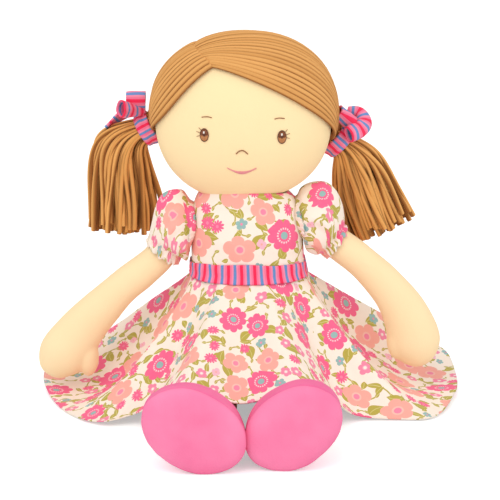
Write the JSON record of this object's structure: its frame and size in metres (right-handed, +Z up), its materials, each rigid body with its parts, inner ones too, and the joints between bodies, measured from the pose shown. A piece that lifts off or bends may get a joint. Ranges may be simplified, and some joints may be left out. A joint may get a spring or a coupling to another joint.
{
  "type": "rag doll",
  "caption": "Seated soft rag doll with a wide stuffed head, strand hair tied in bunches, a puff-sleeved dress with a spread skirt and waistband, and stuffed shoes.",
  "frame": {"origin": "the middle of the body's flat seat, on the surface that the doll sits on", "axes": "+Z up, -Y the way the doll faces, +X to the right as seen from the front"},
  "size_m": [0.3199, 0.3027, 0.2778],
  "materials": {
    "skin_jersey": "brushed cotton jersey",
    "hair_jersey": "rolled jersey strands",
    "dress_cotton": "printed plain-weave cotton, small flowers",
    "stripe_cotton": "cotton with red, pink and blue stripes",
    "shoe_velour": "velour",
    "eye_thread": "satin stitch",
    "brown_thread": "stitched thread",
    "mouth_thread": "satin stitch",
    "elastic": "elastic cord"
  },
  "bodies": {
    "torso": {"torso": "skin_jersey", "bodice": "dress_cotton", "waistband": "stripe_cotton", "skirt": "dress_cotton"},
    "head": {"head": "skin_jersey", "hair_left": "hair_jersey", "hair_right": "hair_jersey", "hair_tie_left": "stripe_cotton", "hair_tie_right": "stripe_cotton", "bow_left": "stripe_cotton", "bow_right": "stripe_cotton", "eye_left": "eye_thread", "eye_right": "eye_thread", "brow_left": "brown_thread", "brow_right": "brown_thread", "nose_stitch": "brown_thread", "mouth_stitch": "mouth_thread"},
    "arm_left": {"arm_left": "skin_jersey", "sleeve_left": "dress_cotton", "cuff_elastic_left": "elastic"},
    "arm_right": {"arm_right": "skin_jersey", "sleeve_right": "dress_cotton", "cuff_elastic_right": "elastic"},
    "leg_left": {"leg_left": "skin_jersey", "shoe_upper_left": "shoe_velour", "shoe_sole_left": "shoe_velour"},
    "leg_right": {"leg_right": "skin_jersey", "shoe_upper_right": "shoe_velour", "shoe_sole_right": "shoe_velour"},
    "pigtail_left": {"pigtail_left": "hair_jersey"},
    "pigtail_right": {"pigtail_right": "hair_jersey"}
  },
  "joints": [
    {"name": "head_nod", "type": "hinge", "parent": "torso", "child": "head", "pos_m": [0, 0, 0.1875], "axis": [1, 0, 0], "range_deg": [-5, 15], "stiffness_Nm_per_rad": 0.4},
    {"name": "arm_left_swing", "type": "hinge", "parent": "torso", "child": "arm_left", "pos_m": [-0.04523, 0, 0.134], "axis": [-1, 0, 0], "range_deg": [-5, 100]},
    {"name": "arm_right_swing", "type": "hinge", "parent": "torso", "child": "arm_right", "pos_m": [0.04167, 0, 0.138], "axis": [-1, 0, 0], "range_deg": [-5, 100]},
    {"name": "leg_left_swing", "type": "hinge", "parent": "torso", "child": "leg_left", "pos_m": [-0.028, -0.032, 0.021], "axis": [1, 0, 0], "range_deg": [0, 90]},
    {"name": "leg_right_swing", "type": "hinge", "parent": "torso", "child": "leg_right", "pos_m": [0.028, -0.032, 0.021], "axis": [1, 0, 0], "range_deg": [0, 90]},
    {"name": "pigtail_left_swing", "type": "hinge", "parent": "head", "child": "pigtail_left", "pos_m": [-0.0771, 0.02, 0.2017], "axis": [0.8746, 0, 0.4848], "range_deg": [0, 60]},
    {"name": "pigtail_right_swing", "type": "hinge", "parent": "head", "child": "pigtail_right", "pos_m": [0.066, 0.02, 0.1922], "axis": [0.7431, 0, -0.6691], "range_deg": [0, 60]}
  ]
}
